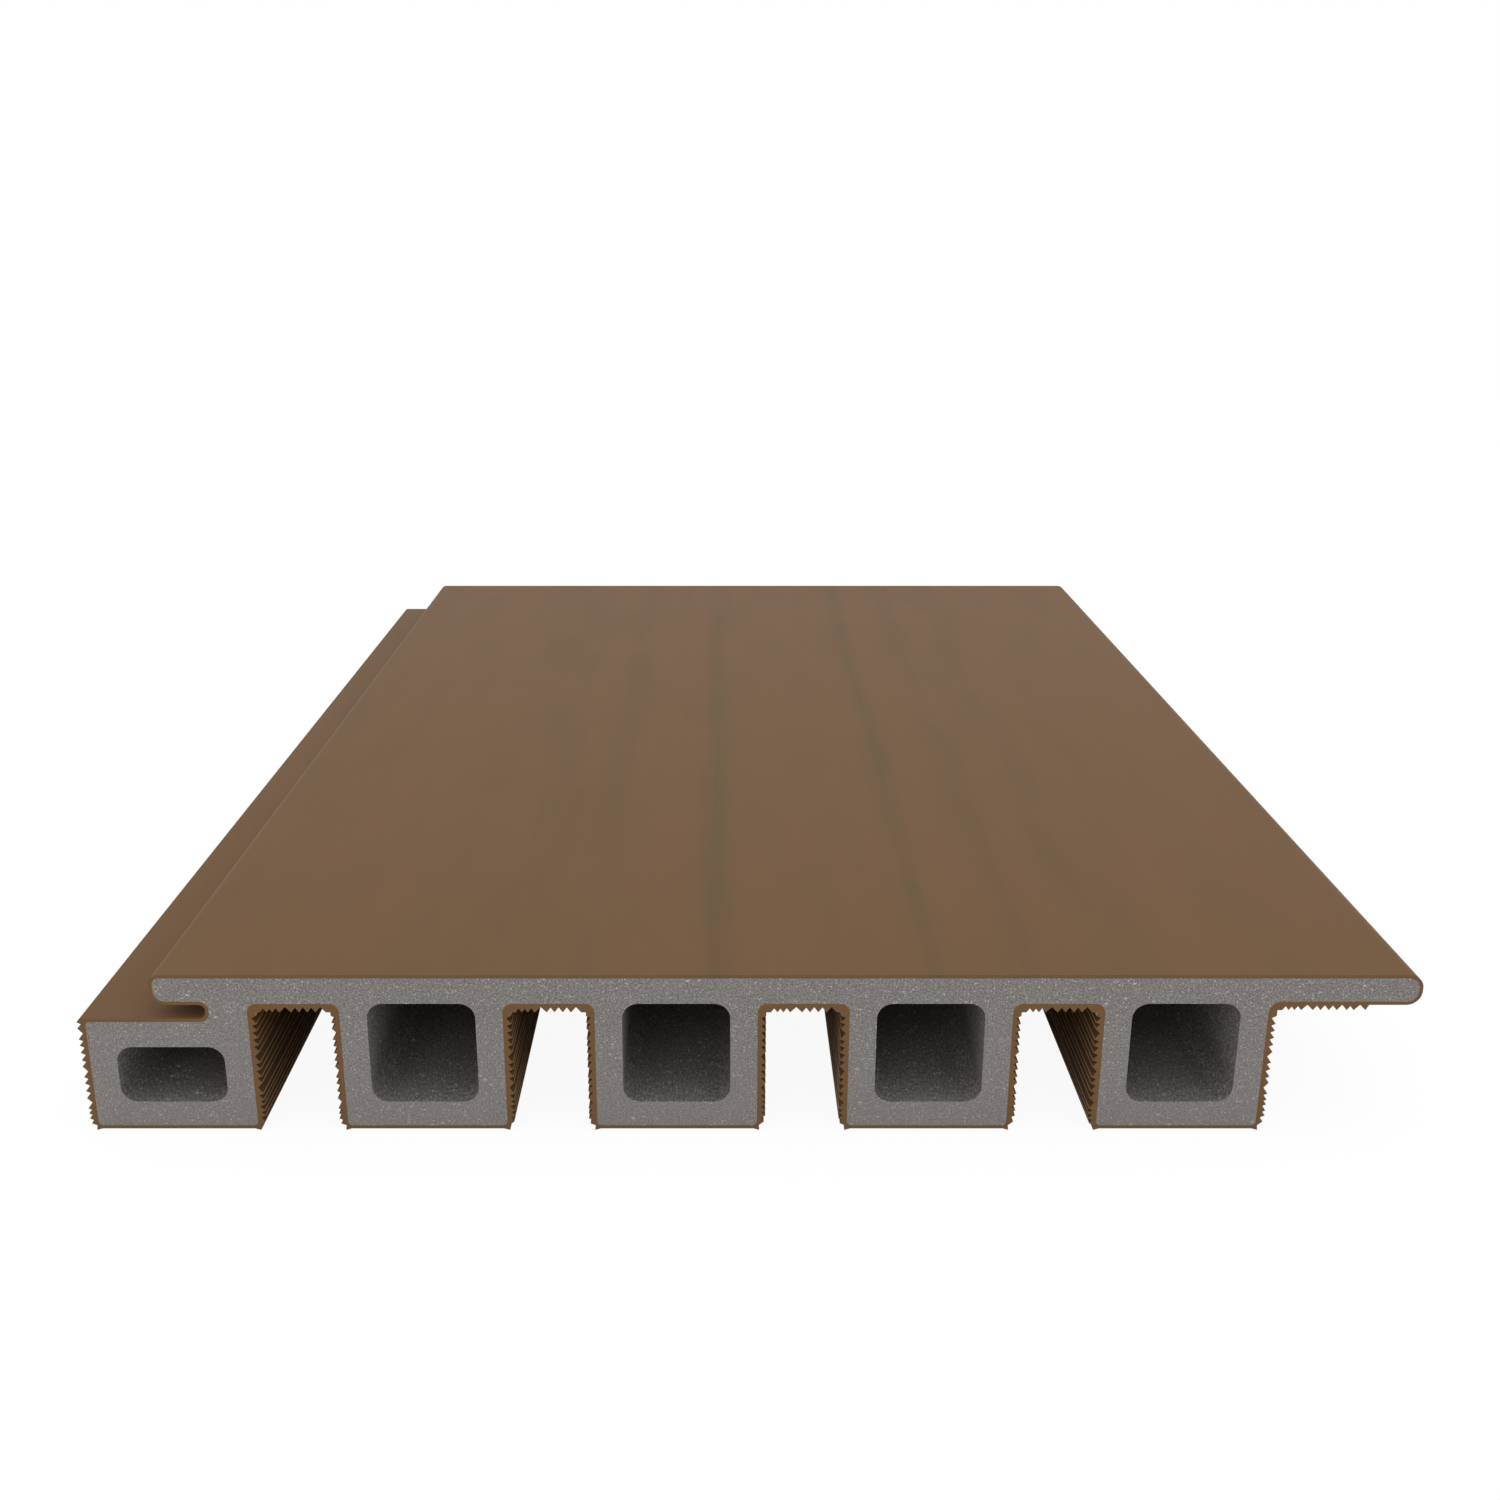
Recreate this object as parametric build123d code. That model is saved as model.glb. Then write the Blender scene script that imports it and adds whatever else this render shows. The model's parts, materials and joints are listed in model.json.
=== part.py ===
from build123d import *
from itertools import cycle, pairwise
import os

# A co-extruded cladding board: a hollow core wrapped all round in a thin cap, both ends sawn square.
# It lies on its ribs with the flat face up. X runs across the board from the tongue to the long lip,
# Y along it and Z up from the floor. The sizes are in millimetres.
# Core and cap are each modelled as solids that meet face to face at the clip slot, and none of them reaches
# along both its sides. They are the tongue, the short lip and the ribbed board, and in the cap the lining of
# the slot's end.

# Board
LENGTH = 288.0
RIB_COUNT = 4  # whole ribs, beside the tongue
RIB_PITCH = 41.6

# Core, measured without the cap
CORE_HEIGHT = 27.1
RIB_WIDTH = 26.6
TONGUE_WIDTH = 26.6
SLAB = 4.55  # plate that joins the ribs
RIB_WALL = 4.45
RIB_FLOOR = 4.5
TONGUE_ROOF = 4.6
LIP = 4.15  # thickness of both lips
LONG_LIP_REACH = 24.0
SHORT_LIP_REACH = 8.75
NECK = 6.2  # between the end of the clip slot and the first channel
CHAMBER_RADIUS = 2.7
CHANNEL_RADIUS = 1.65
FOOT_RADIUS = 0.75
LEDGE_RADIUS = 0.7
SLOT_RADIUS = 1.6
LONG_LIP_ROOT_RADIUS = 2.1
LONG_LIP_TIP_RADIUS = 1.8
SHORT_LIP_TOP_RADIUS = 1.1
SHORT_LIP_BOTTOM_RADIUS = 1.8
MOST_ROUND = 0.49  # of a wall, for each of its two corners

# Cap
CAP = 0.6  # thickness on the plain faces and under the roots of the teeth
SLOT_GAP = 2.5  # clear height of the clip slot
LEDGE_EDGE_RADIUS = 0.4  # rounds the ledge's outer edge
LEDGE_SLANT = 0.5  # from that edge out to the first tooth of the tongue
LEDGE_TOOTH_DROP = 0.7  # and down to it
LIP_PLAIN = 8.4  # toothless underside at the tip of the long lip

# Teeth, ridges that run the whole length of the board
WALL_TOOTH_HEIGHT = 0.8
WEB_TOOTH_HEIGHT = 0.95  # on the channel tops and the long lip
NOTCH_STEEPNESS = 0.67  # depth over width of a narrow notch
LONGEST_SLOPE = 1.1
WALL_SLOPE_SHARE = 0.7  # wall teeth are barbs that point down
WEB_SLOPE_SHARE = 0.5  # the others are even triangles
LEFT_FIRST_TOOTH = 0.95  # height of a left wall's lowest tip above the foot
RIGHT_FIRST_TOOTH = 1.3  # and of a right wall's
FIRST_TOOTH_BACK = 0.25  # how much less than the others the lowest tooth reaches out
LEFT_STEPS = (0.95, 0.95, 0.95, 1.95, 1.3, 1.45, 1.15, 2.0, 1.15, 1.4, 1.3, 1.15, 2.0, 1.1, 1.2)
RIGHT_STEPS = (1.15, 0.95, 1.15, 0.9, 1.15, 2.05, 1.15, 1.4, 1.2, 2.0, 1.3, 1.3, 1.3, 1.25, 1.45)
WEB_STEPS = (1.05, 0.95, 1.1, 1.95, 1.25, 1.35, 1.3, 1.65, 1.15, 1.95)
WEB_FILL = 0.75  # from a channel's inner corner to the nearest tip of its top
WALL_FILL = 0.65  # and to the highest tip of its wall
LAST_FLANK = 0.5  # behind the last tooth of the long lip

# Nub on each corner of a foot, which the board lies on
NUB_DROP = 0.3
NUB_TIP_OUT = 0.4  # outside the core's wall
NUB_NECK_OUT = 0.3
NUB_NECK_HEIGHT = 0.6
NUB_BASE_IN = 0.55  # inside the core's wall

# Places across the board
wall_reach = CAP + WALL_TOOTH_HEIGHT
board_width = wall_reach + TONGUE_WIDTH + RIB_COUNT * RIB_PITCH + LONG_LIP_REACH + CAP
tongue_left = wall_reach - board_width / 2
tongue_right = tongue_left + TONGUE_WIDTH
rib_rights = [tongue_right + RIB_PITCH * number for number in range(1, RIB_COUNT + 1)]
ribs = [(right - RIB_WIDTH, right) for right in rib_rights]
long_lip_tip = rib_rights[-1] + LONG_LIP_REACH
slot_end = tongue_right - NECK
short_lip_tip = slot_end - SHORT_LIP_REACH
lip_plain_start = long_lip_tip + CAP - LIP_PLAIN
ledge_edge = tongue_left - wall_reach + LEDGE_SLANT

# Heights
foot = NUB_DROP
core_bottom = foot + CAP
core_top = core_bottom + CORE_HEIGHT
slab_under = core_top - SLAB
lip_under = core_top - LIP
ledge = lip_under - SLOT_GAP - 2 * CAP
chamber_floor = core_bottom + RIB_FLOOR
ledge_tooth = ledge + CAP - LEDGE_TOOTH_DROP
web_tips = slab_under - CAP - WEB_TOOTH_HEIGHT
lip_tips = lip_under - CAP - WEB_TOOTH_HEIGHT
highest_tip = web_tips - WALL_FILL

# Corners that their walls limit
slot_radius = min(SLOT_RADIUS, MOST_ROUND * (SLOT_GAP + 2 * CAP))
slot_straight = slot_end - slot_radius  # where the slot's end begins to round
long_lip_tip_radius = min(LONG_LIP_TIP_RADIUS, MOST_ROUND * LIP)
short_lip_top_radius = min(SHORT_LIP_TOP_RADIUS, MOST_ROUND * LIP)
short_lip_bottom_radius = min(SHORT_LIP_BOTTOM_RADIUS, MOST_ROUND * LIP)


def core_outline():
    """The core's outer edge: along the ribs from the tongue to the long lip, and back over the face."""
    corners = [
        (tongue_left, core_bottom, FOOT_RADIUS),
        (tongue_right, core_bottom, FOOT_RADIUS),
        (tongue_right, slab_under, CHANNEL_RADIUS),
    ]
    for left, right in ribs:
        last = right == rib_rights[-1]
        corners += [
            (left, slab_under, CHANNEL_RADIUS),
            (left, core_bottom, FOOT_RADIUS),
            (right, core_bottom, FOOT_RADIUS),
            (right, lip_under, LONG_LIP_ROOT_RADIUS) if last else (right, slab_under, CHANNEL_RADIUS),
        ]
    corners += [
        (long_lip_tip, lip_under, long_lip_tip_radius),
        (long_lip_tip, core_top, long_lip_tip_radius),
        (short_lip_tip, core_top, short_lip_top_radius),
        (short_lip_tip, lip_under, short_lip_bottom_radius),
        (slot_end, lip_under, slot_radius),
        (slot_end, ledge, slot_radius),
        (tongue_left, ledge, LEDGE_RADIUS),
    ]
    places = [(x, z) for x, z, _ in corners]
    return FilletPolyline(*places, radius=[radius for *_, radius in corners], close=True)


def chamber(left, right, roof):
    """The hollow of one rib, with its core walls left standing."""
    low = Vector(left + RIB_WALL, chamber_floor)
    high = Vector(right - RIB_WALL, roof)
    size = high - low
    radius = min(CHAMBER_RADIUS, MOST_ROUND * min(size.X, size.Y))
    return Pos(*(low + high) / 2) * RectangleRounded(size.X, size.Y, radius)


def tip_places(run, steps):
    """Distances of the tooth tips along a run: the steps in turn, stretched to end where the run ends."""
    places = [0.0]
    for step in cycle(steps):
        if places[-1] + step / 2 > run:
            break
        places.append(places[-1] + step)
    return [place * run / places[-1] for place in places]


def toothed_edge(start, end, outward, height, steps, slope_share):
    """Points of a toothed edge from its first tip to its last; each tip slopes to the root that follows."""
    first = Vector(start)
    span = Vector(end) - first
    along = span.normalized()
    points = [first]
    for here, there in pairwise(tip_places(span.length, steps)):
        step = there - here
        slope = min(LONGEST_SLOPE, slope_share * step)
        depth = min(height, NOTCH_STEEPNESS * step)
        points.append(first + along * (here + slope) - Vector(outward) * depth)
        points.append(first + along * there)
    return points


def web_edge(start, end, tips):
    """The edge of a channel's top, or of the long lip's underside, from its first tip to its last."""
    return toothed_edge((start, tips), (end, tips), (0, -1), WEB_TOOTH_HEIGHT, WEB_STEPS, WEB_SLOPE_SHARE)


def wall_edge(wall, side, first_tooth, steps, top):
    """One wall's edge from the foot up to its highest tip; side is -1 on a left wall, else 1."""
    nub = [
        (wall - side * NUB_BASE_IN, foot),
        (wall + side * NUB_TIP_OUT, foot - NUB_DROP),
        (wall + side * NUB_NECK_OUT, foot + NUB_NECK_HEIGHT),
    ]
    tips = wall + side * wall_reach
    start = (tips, foot + first_tooth)
    teeth = toothed_edge(start, (tips, top), (side, 0), WALL_TOOTH_HEIGHT, steps, WALL_SLOPE_SHARE)
    teeth[0] -= Vector(side * FIRST_TOOTH_BACK, 0)
    return nub + teeth


def left_wall_edge(wall, top):
    """A left wall's edge from its highest tip down to the foot."""
    return wall_edge(wall, -1, LEFT_FIRST_TOOTH, LEFT_STEPS, top)[::-1]


def right_wall_edge(wall, top):
    """A right wall's edge from the foot up to its highest tip."""
    return wall_edge(wall, 1, RIGHT_FIRST_TOOTH, RIGHT_STEPS, top)


def cap_smooth_edge():
    """The cap's plain edge: the long lip's tip, the face, the short lip, the clip slot and the ledge."""
    corners = [
        (long_lip_tip + CAP, lip_under - CAP, long_lip_tip_radius + CAP),
        (long_lip_tip + CAP, core_top + CAP, long_lip_tip_radius + CAP),
        (short_lip_tip - CAP, core_top + CAP, short_lip_top_radius + CAP),
        (short_lip_tip - CAP, lip_under - CAP, short_lip_bottom_radius + CAP),
        (slot_end - CAP, lip_under - CAP, slot_radius - CAP),
        (slot_end - CAP, ledge + CAP, slot_radius - CAP),
        (ledge_edge, ledge + CAP, LEDGE_EDGE_RADIUS),
    ]
    start = (lip_plain_start, lip_under - CAP)
    end = (tongue_left - wall_reach, ledge_tooth)
    places = [start] + [(x, z) for x, z, _ in corners] + [end]
    return FilletPolyline(*places, radius=[radius for *_, radius in corners])


def cap_toothed_edge():
    """The cap's toothed edge: down the tongue, round every rib and along the long lip's underside."""
    fill = wall_reach + WEB_FILL
    points = left_wall_edge(tongue_left, ledge_tooth)
    wall = tongue_right
    for left, right in ribs:
        points += right_wall_edge(wall, highest_tip)
        points += [(wall + wall_reach, web_tips)]
        points += web_edge(wall + fill, left - fill, web_tips)
        points += [(left - wall_reach, web_tips)]
        points += left_wall_edge(left, highest_tip)
        wall = right
    points += right_wall_edge(wall, highest_tip)
    points += [(wall + wall_reach, lip_tips)]
    points += web_edge(wall + fill, lip_plain_start - LAST_FLANK, lip_tips)
    return Polyline(*points, (lip_plain_start, lip_under - CAP))


def stock(section):
    """A length of board with this section, half each way from the middle."""
    return extrude(Plane.XZ * section, amount=LENGTH / 2, both=True)


def composite_core():
    """The hollow wood-plastic core."""
    section = make_face(core_outline())
    section -= chamber(tongue_left, tongue_right, ledge - TONGUE_ROOF)
    for left, right in ribs:
        section -= chamber(left, right, slab_under)
    return stock(section)


def cap_layer():
    """The thin cap all round the core, plain outside on some faces and toothed on the others."""
    outer = Wire([*cap_smooth_edge().edges(), *cap_toothed_edge().edges()])
    return stock(make_face(outer) - make_face(core_outline()))


def cut_at_slot(layer):
    """One layer's solids by name, cut where the slot's end begins to round; the core has no slot_end."""
    cut = Plane.YZ.offset(slot_straight)
    outside = split(layer, cut, keep=Keep.BOTTOM).solids().sort_by(Axis.Z)
    inside = split(layer, cut, keep=Keep.TOP).solids().sort_by(SortBy.VOLUME, reverse=True)
    return dict(zip(("tongue", "short_lip", "board", "slot_end"), outside + inside))


os.makedirs("parts", exist_ok=True)
for layer_name, layer in {"core": composite_core(), "cap": cap_layer()}.items():
    for piece_name, piece in cut_at_slot(layer).items():
        export_step(piece, f"parts/{piece_name}_{layer_name}.step")
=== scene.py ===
"""Looks for a short length of composite cladding board.

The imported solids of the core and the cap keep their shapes. This script smooths how their roundings shade,
gives both layers their finishes, and sets the floor, the light and the camera.
"""
import json
import math

import bpy
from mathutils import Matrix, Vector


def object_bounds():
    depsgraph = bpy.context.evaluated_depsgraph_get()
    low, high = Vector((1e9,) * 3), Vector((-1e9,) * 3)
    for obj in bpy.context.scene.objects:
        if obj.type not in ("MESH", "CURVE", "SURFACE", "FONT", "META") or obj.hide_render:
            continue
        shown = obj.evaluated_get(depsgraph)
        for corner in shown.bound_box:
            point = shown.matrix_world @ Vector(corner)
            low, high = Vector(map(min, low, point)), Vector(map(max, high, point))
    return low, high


MM = 0.001

# Camera, as the picture's straight edges give it
PICTURE_SIDE = 1500  # pixels
FOCAL_LENGTH = 1608  # pixels
AXIS_ACROSS = 721.2  # pixel column that the lens axis meets
AXIS_DOWN = 750.6  # and the pixel row
SENSOR = 36  # mm
CAMERA_ACROSS = -4.25 * MM  # from the middle of the board
CAMERA_BACK = 235 * MM  # in front of the near end
CAMERA_UP = 145 * MM  # above the floor
CAMERA_PITCH = math.radians(18.4)  # below the horizon

# Floor
FLOOR_SIDE = 8.0
WHITE = "ffffff"
FLOOR_PALE = "f2f2f2"  # what lights the board from below
FLOOR_GLOW = 0.93  # the share of the floor's white that no shadow takes
SHADOW_GREY = "545454"  # the rest of it

# Light: an even sky, and soft boxes that each have a place, a side and a power in watts
SKY_LIGHT = 0.82
SOFTBOXES = {
    "top_softbox": ((0.1, -0.1, 1.2), 1.0, 2.0),
    "front_softbox": ((-0.2, -1.2, 0.5), 0.8, 1.5),
}

# Shading of roundings
FACET_TURN = math.radians(40)  # the most that two facets of one rounding turn
WELD_GAP = 0.002 * MM

# Both layers
SAWN_DEPTH = 0.02 * MM  # how near an end counts as the sawn face
POLYMER_IOR = 1.5

# Core: sizes of its grain
MOTTLE = 4 * MM
GRIT = 0.3 * MM
GRIT_DEPTH = 0.06 * MM
FIBRE_PATCH = 9 * MM  # where the fibres lie thick
GRAIN_LENGTH = 2.5  # along the board, in widths
SPLINTER_LENGTH = 2.0  # across the cut, in widths
SPLINTER_SLANT = 0.5  # radians

# Core: flecks, each kind with its spacing, its radius and the share of places that have none
PORES = (0.5 * MM, 0.16 * MM, 0.6)
FIBRE_ENDS = (0.45 * MM, 0.17 * MM, 0.45)
SPLINTERS = (0.9 * MM, 0.22 * MM, 0.8)

# Core: how much of its grain shows
FINE_HEIGHT = 3 * MM  # where the cut is finest
FINE_GRAIN = 0.55
COARSE_HEIGHT = 26 * MM  # where the cut is coarsest
COARSE_GRAIN = 0.9
DRAWN_GRAIN = 0.95  # on the chamber walls

# Cap: sizes of the patches and the lines in its tone
PATCH = 10 * MM
PATCH_LENGTH = 4  # along the board, in widths
LINE = 1.5 * MM
LINE_DEPTH = 0.02 * MM
LINE_LENGTH = 50  # along the board, in widths
LINE_SHARE = 0.35  # of the patches' strength

# Cap: streaks along the face, each with its place from the middle, half its width and its strength
FACE_STREAKS = (
    (-96 * MM, 16 * MM, 0.55),
    (-42 * MM, 26 * MM, 0.5),
    (-27 * MM, 8 * MM, 0.65),
    (-5.2 * MM, 5.5 * MM, 0.95),
    (31 * MM, 5 * MM, 0.95),
    (46.5 * MM, 6.5 * MM, 0.58),
    (60 * MM, 11 * MM, 0.55),
)
STREAK_WANDER = 5 * MM  # how far the drawn lines push them aside
STREAK_PEAK = 2.0  # the power that draws their strength to the middle
STREAK_FADED = 0.55  # what a pale patch multiplies their strength by
STREAK_FULL = 1.3  # and what a dark one does
FACE_DEPTH = 2 * MM  # how far below the face they reach

# Cap: ridges in the channels
WALL_RIDGE = 0.8 * MM  # height of a ridge
TOP_RIDGE = 0.95 * MM
RIDGE_CLEARANCE = 0.1 * MM  # from a channel's stated opening to the tips
PAINTED_HIGHLIGHT_FROM = 0.85  # of a ridge's height, up to its tip: where the painted highlight lies


def linear(colour):
    """The linear RGBA of an sRGB hex colour."""
    channels = [int(colour[place:place + 2], 16) / 255 for place in (0, 2, 4)]
    return [c / 12.92 if c <= 0.04045 else ((c + 0.055) / 1.055) ** 2.4 for c in channels] + [1.0]


def add(tree, kind, inputs=None, **settings):
    """Adds one node. An input, by name or place, is a value or the output that feeds it.

    A mix takes its factor at 0, and two colours at 6 and 7 or two numbers at 2 and 3. A map range takes its
    value at 0, the span that comes in at 1 and 2, and the span that goes out at 3 and 4.
    """
    made = tree.nodes.new(kind)
    for name, value in settings.items():
        setattr(made, name, value)
    for name, value in (inputs or {}).items():
        if isinstance(value, bpy.types.NodeSocket):
            tree.links.new(value, made.inputs[name])
        else:
            made.inputs[name].default_value = value
    return made


def new_material(name):
    """An empty material and its node tree."""
    material = bpy.data.materials.new(name)
    material.use_nodes = True
    material.node_tree.nodes.clear()
    return material, material.node_tree


def off_sawn_ends(tree, axes, half_length):
    """1 on the faces that the die drew, 0 on the two sawn ends."""
    from_middle = add(tree, "ShaderNodeMath", {0: axes[1]}, operation="ABSOLUTE").outputs[0]
    limit = half_length - SAWN_DEPTH
    return add(tree, "ShaderNodeMath", {0: from_middle, 1: limit}, operation="LESS_THAN").outputs[0]


def fleck_strength(tree, place, spacing, radius, bare):
    """Round flecks in cells this far apart: 1 in the middle of a bright one, 0 off them and in bare cells."""
    cells = add(tree, "ShaderNodeTexVoronoi", {"Vector": place, "Scale": 1 / spacing}).outputs
    chance = add(tree, "ShaderNodeSeparateColor", {0: cells["Color"]}).outputs[0]
    bright = add(tree, "ShaderNodeMapRange", {0: chance, 1: bare, 2: 1.0}).outputs[0]
    reach = radius / spacing
    spot = add(tree, "ShaderNodeMapRange", {0: cells["Distance"], 1: reach, 2: reach / 3}).outputs[0]
    return add(tree, "ShaderNodeMath", {0: bright, 1: spot}, operation="MULTIPLY").outputs[0]


def sawn_wood_plastic(half_length):
    """Wood flour bound in polyethylene, extruded hollow and sawn square.

    The eye sees a dull warm grey, grainy all over and coarser towards the face than at the feet, with pale
    fibre ends scattered on the cut, more in some places than in others. The drawn faces, which show as the
    chamber walls, carry painted shade: their colour is multiplied a shade darker and a little greener. There
    the fibres show as short pale dashes.
    """
    material, tree = new_material("sawn_wood_plastic")
    place = add(tree, "ShaderNodeTexCoord").outputs["Object"]
    axes = add(tree, "ShaderNodeSeparateXYZ", {0: place}).outputs
    along = add(tree, "ShaderNodeMapping", {"Vector": place, "Scale": (1, 1 / GRAIN_LENGTH, 1)}).outputs[0]
    slanted = add(tree, "ShaderNodeMapping", {
        "Vector": place,
        "Rotation": (0, SPLINTER_SLANT, 0),
        "Scale": (1 / SPLINTER_LENGTH, 1 / GRAIN_LENGTH, 1),
    }).outputs[0]
    # Mottled ground
    mottle = add(
        tree, "ShaderNodeTexNoise", {"Vector": along, "Scale": 1 / MOTTLE, "Detail": 2.0}
    ).outputs[0]
    mottled = add(tree, "ShaderNodeMapRange", {0: mottle, 1: 0.3, 2: 0.7}).outputs[0]
    ground = add(
        tree, "ShaderNodeMix", {0: mottled, 6: linear("65615e"), 7: linear("6d6965")}, data_type="RGBA"
    ).outputs[2]
    # Grit, and pores between its grains
    grit = add(tree, "ShaderNodeTexNoise", {"Vector": along, "Scale": 1 / GRIT, "Detail": 1.0}).outputs[0]
    gritty = add(tree, "ShaderNodeMapRange", {0: grit, 1: 0.35, 2: 0.7}).outputs[0]
    grained = add(
        tree, "ShaderNodeMix", {0: gritty, 6: ground, 7: linear("979390")}, data_type="RGBA"
    ).outputs[2]
    pore = fleck_strength(tree, along, *PORES)
    porous = add(
        tree, "ShaderNodeMix", {0: pore, 6: grained, 7: linear("585450")}, data_type="RGBA"
    ).outputs[2]
    # Fibres: many small ends and a few splinters that lie across the cut
    ends = fleck_strength(tree, along, *FIBRE_ENDS)
    splinters = fleck_strength(tree, slanted, *SPLINTERS)
    fibre = add(tree, "ShaderNodeMath", {0: ends, 1: splinters}, operation="MAXIMUM").outputs[0]
    patch = add(
        tree, "ShaderNodeTexNoise", {"Vector": place, "Scale": 1 / FIBRE_PATCH, "Detail": 1.0}
    ).outputs[0]
    thick = add(tree, "ShaderNodeMapRange", {0: patch, 1: 0.35, 2: 0.65, 3: 0.5, 4: 1.0}).outputs[0]
    fleck = add(tree, "ShaderNodeMath", {0: fibre, 1: thick}, operation="MULTIPLY").outputs[0]
    flecked = add(
        tree, "ShaderNodeMix", {0: fleck, 6: porous, 7: linear("dcd8d3")}, data_type="RGBA"
    ).outputs[2]
    # Grain of the cut, evened out towards the feet, and painted shade on the drawn chamber walls
    drawn = off_sawn_ends(tree, axes, half_length)
    cut = add(tree, "ShaderNodeMapRange", {
        0: axes[2],
        1: FINE_HEIGHT,
        2: COARSE_HEIGHT,
        3: FINE_GRAIN,
        4: COARSE_GRAIN,
    }).outputs[0]
    coarse = add(tree, "ShaderNodeMix", {0: drawn, 2: cut, 3: DRAWN_GRAIN}).outputs[0]
    evened = add(
        tree, "ShaderNodeMix", {0: coarse, 6: linear("878380"), 7: flecked}, data_type="RGBA"
    ).outputs[2]
    # Painted shade: the drawn faces, the chamber walls, multiplied darker and a little greener
    painted_chamber_shade = add(
        tree, "ShaderNodeMix", {0: drawn, 6: evened, 7: linear("eeeeea")},
        data_type="RGBA", blend_type="MULTIPLY",
    ).outputs[2]
    bump = add(tree, "ShaderNodeBump", {"Height": grit, "Strength": 0.25, "Distance": GRIT_DEPTH})
    shader = add(tree, "ShaderNodeBsdfPrincipled", {
        "Base Color": painted_chamber_shade,
        "Roughness": 0.85,
        "IOR": POLYMER_IOR,
        "Specular IOR Level": 0.1,
        "Normal": bump.outputs[0],
    })
    add(tree, "ShaderNodeOutputMaterial", {"Surface": shader.outputs[0]})
    return material


def streak_strength(tree, axes, lines, face_height):
    """How much of a streak's tone a point of the face takes: most in the middle of a streak, 0 off them."""
    aside = add(
        tree, "ShaderNodeMapRange", {0: lines, 3: -STREAK_WANDER / 2, 4: STREAK_WANDER / 2}
    ).outputs[0]
    across = add(tree, "ShaderNodeMath", {0: axes[0], 1: aside}, operation="ADD").outputs[0]
    strength = 0.0
    for middle, half_width, most in FACE_STREAKS:
        off = add(tree, "ShaderNodeMath", {0: across, 1: middle}, operation="SUBTRACT").outputs[0]
        apart = add(tree, "ShaderNodeMath", {0: off}, operation="ABSOLUTE").outputs[0]
        near = add(tree, "ShaderNodeMapRange", {0: apart, 1: half_width, 2: 0.0, 3: 0.0, 4: most}).outputs[0]
        strength = add(tree, "ShaderNodeMath", {0: strength, 1: near}, operation="MAXIMUM").outputs[0]
    peaked = add(tree, "ShaderNodeMath", {0: strength, 1: STREAK_PEAK}, operation="POWER").outputs[0]
    lowest = face_height - FACE_DEPTH
    on_face = add(tree, "ShaderNodeMath", {0: axes[2], 1: lowest}, operation="GREATER_THAN").outputs[0]
    return add(tree, "ShaderNodeMath", {0: peaked, 1: on_face}, operation="MULTIPLY").outputs[0]


def ridge_shape(tree, axes, channels, rebate, half_length):
    """Where the drawn ridges are, 0 or 1, and how high up one a point lies: 0 in a notch, 1 on a tip."""
    (left, _, _), (right, _, top) = channels[0]
    (_, _, ledge), (ledge_right, _, _) = rebate
    middle = (left + right) / 2
    pitch = channels[1][0][0] - left
    tips = (right - left) / 2 + RIDGE_CLEARANCE
    tip_line = top + RIDGE_CLEARANCE
    off = add(tree, "ShaderNodeMath", {0: axes[0], 1: middle}, operation="SUBTRACT").outputs[0]
    turned = add(tree, "ShaderNodeMath", {0: off, 1: pitch / 2, 2: -pitch / 2}, operation="WRAP").outputs[0]
    apart = add(tree, "ShaderNodeMath", {0: turned}, operation="ABSOLUTE").outputs[0]
    on_wall = add(tree, "ShaderNodeMapRange", {0: apart, 1: tips + WALL_RIDGE, 2: tips}).outputs[0]
    on_top = add(tree, "ShaderNodeMapRange", {0: axes[2], 1: tip_line + TOP_RIDGE, 2: tip_line}).outputs[0]
    height = add(tree, "ShaderNodeMath", {0: on_wall, 1: on_top}, operation="MINIMUM").outputs[0]
    # Off the sawn ends, in reach of a channel's walls and top, and not on the tongue's plain ledge
    within = off_sawn_ends(tree, axes, half_length)
    limits = (
        (apart, tips + WALL_RIDGE + RIDGE_CLEARANCE),
        (axes[2], tip_line + 2 * TOP_RIDGE),
    )
    for measure, limit in limits:
        inside = add(tree, "ShaderNodeMath", {0: measure, 1: limit}, operation="LESS_THAN").outputs[0]
        within = add(tree, "ShaderNodeMath", {0: within, 1: inside}, operation="MULTIPLY").outputs[0]
    lowest = ledge - WALL_RIDGE
    above = add(tree, "ShaderNodeMath", {0: axes[2], 1: lowest}, operation="GREATER_THAN").outputs[0]
    beside = add(tree, "ShaderNodeMath", {0: axes[0], 1: ledge_right}, operation="LESS_THAN").outputs[0]
    on_ledge = add(tree, "ShaderNodeMath", {0: above, 1: beside}, operation="MULTIPLY").outputs[0]
    within = add(
        tree, "ShaderNodeMath", {0: within, 1: on_ledge}, operation="SUBTRACT", use_clamp=True
    ).outputs[0]
    return within, height


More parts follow.
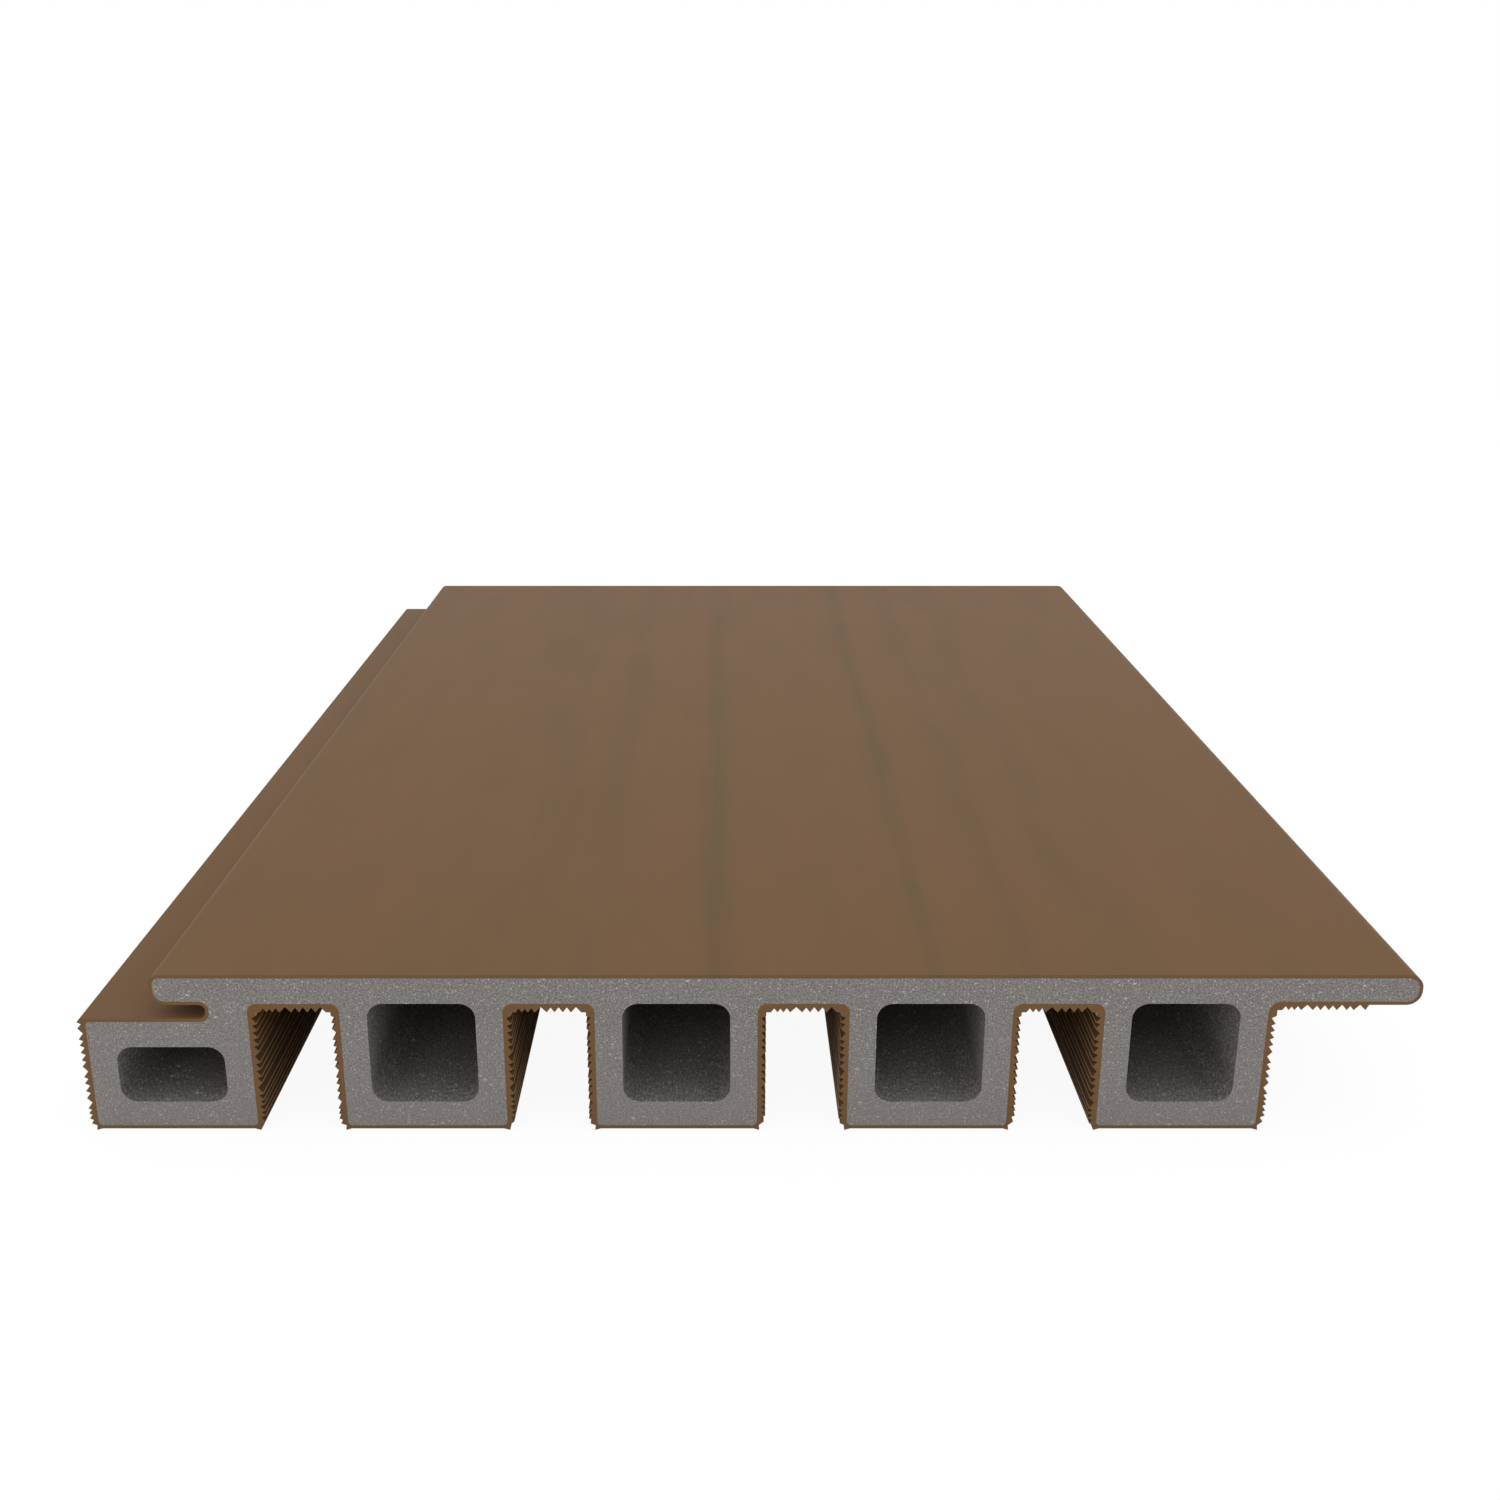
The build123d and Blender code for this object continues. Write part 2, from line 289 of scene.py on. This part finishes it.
def co_extruded_cap(face_height, half_length, channels, rebate):
    """Brown polymer, co-extruded over the core and drawn through the same die.

    The eye sees a satin brown that greys a little at a low angle, with faint patches and lines along the
    board and a few cooler streaks down the face. The ridges in the channels carry painted light: a pale
    painted highlight on their tips, and painted shade, darker than the face, on their flanks and in the
    notches.
    """
    material, tree = new_material("co_extruded_cap")
    place = add(tree, "ShaderNodeTexCoord").outputs["Object"]
    axes = add(tree, "ShaderNodeSeparateXYZ", {0: place}).outputs
    drawn = add(tree, "ShaderNodeMapping", {"Vector": place, "Scale": (1, 1 / LINE_LENGTH, 1)}).outputs[0]
    smeared = add(tree, "ShaderNodeMapping", {"Vector": place, "Scale": (1, 1 / PATCH_LENGTH, 1)}).outputs[0]
    # Smeared patches and fainter drawn lines
    patches = add(
        tree, "ShaderNodeTexNoise", {"Vector": smeared, "Scale": 1 / PATCH, "Detail": 3.0}
    ).outputs[0]
    lines = add(tree, "ShaderNodeTexNoise", {"Vector": drawn, "Scale": 1 / LINE, "Detail": 2.0}).outputs[0]
    both = add(
        tree, "ShaderNodeMath", {0: lines, 1: LINE_SHARE, 2: patches}, operation="MULTIPLY_ADD"
    ).outputs[0]
    tone = add(tree, "ShaderNodeMapRange", {0: both, 1: 0.475, 2: 0.875}).outputs[0]
    brown = add(
        tree, "ShaderNodeMix", {0: tone, 6: linear("6f5336"), 7: linear("735538")}, data_type="RGBA"
    ).outputs[2]
    # Streaks, which fade in the pale patches
    steady = streak_strength(tree, axes, lines, face_height)
    change = add(
        tree, "ShaderNodeMapRange", {0: patches, 1: 0.35, 2: 0.65, 3: STREAK_FULL, 4: STREAK_FADED}
    ).outputs[0]
    streak = add(tree, "ShaderNodeMath", {0: steady, 1: change}, operation="MULTIPLY").outputs[0]
    streaked = add(
        tree, "ShaderNodeMix", {0: streak, 6: brown, 7: linear("665135")}, data_type="RGBA"
    ).outputs[2]
    # Ridges: painted highlight on the tips, and painted shade on the flanks and in the notches
    ridged, height = ridge_shape(tree, axes, channels, rebate, half_length)
    tip = add(tree, "ShaderNodeMapRange", {0: height, 1: PAINTED_HIGHLIGHT_FROM, 2: 1.0}).outputs[0]
    # Painted shade in the notches (the darker colour) and painted highlight on the tips (the paler colour)
    painted_ridge_light = add(
        tree, "ShaderNodeMix", {0: tip, 6: linear("5e452b"), 7: linear("c4a484")}, data_type="RGBA"
    ).outputs[2]
    coloured = add(
        tree, "ShaderNodeMix", {0: ridged, 6: streaked, 7: painted_ridge_light}, data_type="RGBA"
    ).outputs[2]
    bump = add(tree, "ShaderNodeBump", {"Height": lines, "Strength": 0.15, "Distance": LINE_DEPTH})
    shader = add(tree, "ShaderNodeBsdfPrincipled", {
        "Base Color": coloured,
        "Roughness": 0.55,
        "IOR": POLYMER_IOR,
        "Specular IOR Level": 0.09,
        "Normal": bump.outputs[0],
    })
    add(tree, "ShaderNodeOutputMaterial", {"Surface": shader.outputs[0]})
    return material


def seen_directly(tree):
    """1 for a ray from the camera or sent on by gloss or glass, 0 for light that falls on the board."""
    path = add(tree, "ShaderNodeLightPath").outputs
    sharp = add(
        tree, "ShaderNodeMath", {0: path["Is Camera Ray"], 1: path["Is Glossy Ray"]}, operation="MAXIMUM"
    ).outputs[0]
    return add(
        tree, "ShaderNodeMath", {0: sharp, 1: path["Is Transmission Ray"]}, operation="MAXIMUM"
    ).outputs[0]


def pale_floor():
    """A plain white studio floor: white as seen, with the board's shadow left faint on it."""
    material, tree = new_material("pale_floor")
    seen = seen_directly(tree)
    colour = add(
        tree, "ShaderNodeMix", {0: seen, 6: linear(FLOOR_PALE), 7: linear(SHADOW_GREY)}, data_type="RGBA"
    ).outputs[2]
    lit = add(tree, "ShaderNodeBsdfDiffuse", {"Color": colour})
    strength = add(tree, "ShaderNodeMath", {0: seen, 1: FLOOR_GLOW}, operation="MULTIPLY").outputs[0]
    glow = add(tree, "ShaderNodeEmission", {"Color": linear(WHITE), "Strength": strength})
    both = add(tree, "ShaderNodeAddShader", {0: lit.outputs[0], 1: glow.outputs[0]})
    add(tree, "ShaderNodeOutputMaterial", {"Surface": both.outputs[0]})
    return material


def round_shading():
    """A modifier tree that joins a solid's loose triangles and shades its roundings smooth."""
    tree = bpy.data.node_groups.new("round_shading", "GeometryNodeTree")
    tree.interface.new_socket("Geometry", in_out="INPUT", socket_type="NodeSocketGeometry")
    tree.interface.new_socket("Geometry", in_out="OUTPUT", socket_type="NodeSocketGeometry")
    loose = add(tree, "NodeGroupInput").outputs[0]
    joined = add(tree, "GeometryNodeMergeByDistance", {"Geometry": loose, "Distance": WELD_GAP}).outputs[0]
    turn = add(tree, "GeometryNodeInputMeshEdgeAngle").outputs[0]
    rounded = add(tree, "FunctionNodeCompare", {0: turn, 1: FACET_TURN}, operation="LESS_THAN").outputs[0]
    faces = add(
        tree, "GeometryNodeSetShadeSmooth", {"Geometry": joined, "Shade Smooth": True}, domain="FACE"
    ).outputs[0]
    edges = add(
        tree, "GeometryNodeSetShadeSmooth", {"Geometry": faces, "Shade Smooth": rounded}, domain="EDGE"
    ).outputs[0]
    add(tree, "NodeGroupOutput", {0: edges})
    return tree


def finish_layers(nodes, record, box):
    """Gives the solids of the core and the cap their finishes and their round shading."""
    openings = {opening["name"]: opening["box_m"] for opening in record["physics"]["openings"]}
    channels = [openings["channel_1"], openings["channel_2"]]
    finishes = {
        "core": sawn_wood_plastic(box[1].y),
        "cap": co_extruded_cap(box[1].z, box[1].y, channels, openings["tongue_rebate"]),
    }
    rounding = round_shading()
    for part in record["subparts"]:
        solid = nodes[part["node"]]
        solid.data.materials.clear()
        solid.data.materials.append(finishes[part["material_slot"]])
        solid.modifiers.new("round_shading", "NODES").node_group = rounding
        flat_faces = solid.modifiers.new("flat_faces", "WEIGHTED_NORMAL")
        flat_faces.mode = "FACE_AREA"
        flat_faces.keep_sharp = True


def lay_floor():
    """The floor under the board."""
    bpy.ops.object.select_all(action="DESELECT")
    bpy.ops.mesh.primitive_plane_add(size=FLOOR_SIDE, location=(0, 0, 0))
    floor = bpy.context.object
    floor.name = "floor"
    floor.data.materials.append(pale_floor())


def light_sky():
    """An even white sky, plain white where it is seen."""
    world = bpy.data.worlds.new("sky")
    world.use_nodes = True
    tree = world.node_tree
    tree.nodes.clear()
    strength = add(tree, "ShaderNodeMapRange", {0: seen_directly(tree), 3: SKY_LIGHT, 4: 1.0}).outputs[0]
    sky = add(tree, "ShaderNodeBackground", {"Color": linear(WHITE), "Strength": strength})
    add(tree, "ShaderNodeOutputWorld", {"Surface": sky.outputs[0]})
    bpy.context.scene.world = world


def hang_softbox(name, place, side, power):
    """A square soft light that faces the board."""
    data = bpy.data.lights.new(name, "AREA")
    data.size = side
    data.energy = power
    lamp = bpy.data.objects.new(name, data)
    lamp.location = place
    lamp.rotation_euler = (-lamp.location).to_track_quat("-Z", "Y").to_euler()
    bpy.context.scene.collection.objects.link(lamp)


def place_camera(near_end):
    """The camera, level and square to the board, in front of its near end."""
    data = bpy.data.cameras.new("camera")
    data.sensor_width = SENSOR
    data.lens = SENSOR * FOCAL_LENGTH / PICTURE_SIDE
    data.shift_x = 0.5 - AXIS_ACROSS / PICTURE_SIDE
    data.shift_y = AXIS_DOWN / PICTURE_SIDE - 0.5
    camera = bpy.data.objects.new("camera", data)
    camera.location = (CAMERA_ACROSS, near_end - CAMERA_BACK, CAMERA_UP)
    camera.rotation_euler = (math.pi / 2 - CAMERA_PITCH, 0, 0)
    bpy.context.scene.collection.objects.link(camera)
    bpy.context.scene.camera = camera


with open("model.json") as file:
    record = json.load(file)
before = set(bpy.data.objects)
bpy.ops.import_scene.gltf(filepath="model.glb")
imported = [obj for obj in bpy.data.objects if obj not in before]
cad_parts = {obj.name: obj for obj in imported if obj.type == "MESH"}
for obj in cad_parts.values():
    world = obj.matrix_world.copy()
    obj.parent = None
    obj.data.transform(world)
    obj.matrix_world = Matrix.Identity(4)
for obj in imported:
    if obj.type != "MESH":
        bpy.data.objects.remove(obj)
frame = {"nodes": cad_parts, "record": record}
solid_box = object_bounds()
finish_layers(frame["nodes"], frame["record"], solid_box)
lay_floor()
light_sky()
for box_name, settings in SOFTBOXES.items():
    hang_softbox(box_name, *settings)
place_camera(solid_box[0].y)
bpy.context.scene.view_settings.view_transform = "Standard"
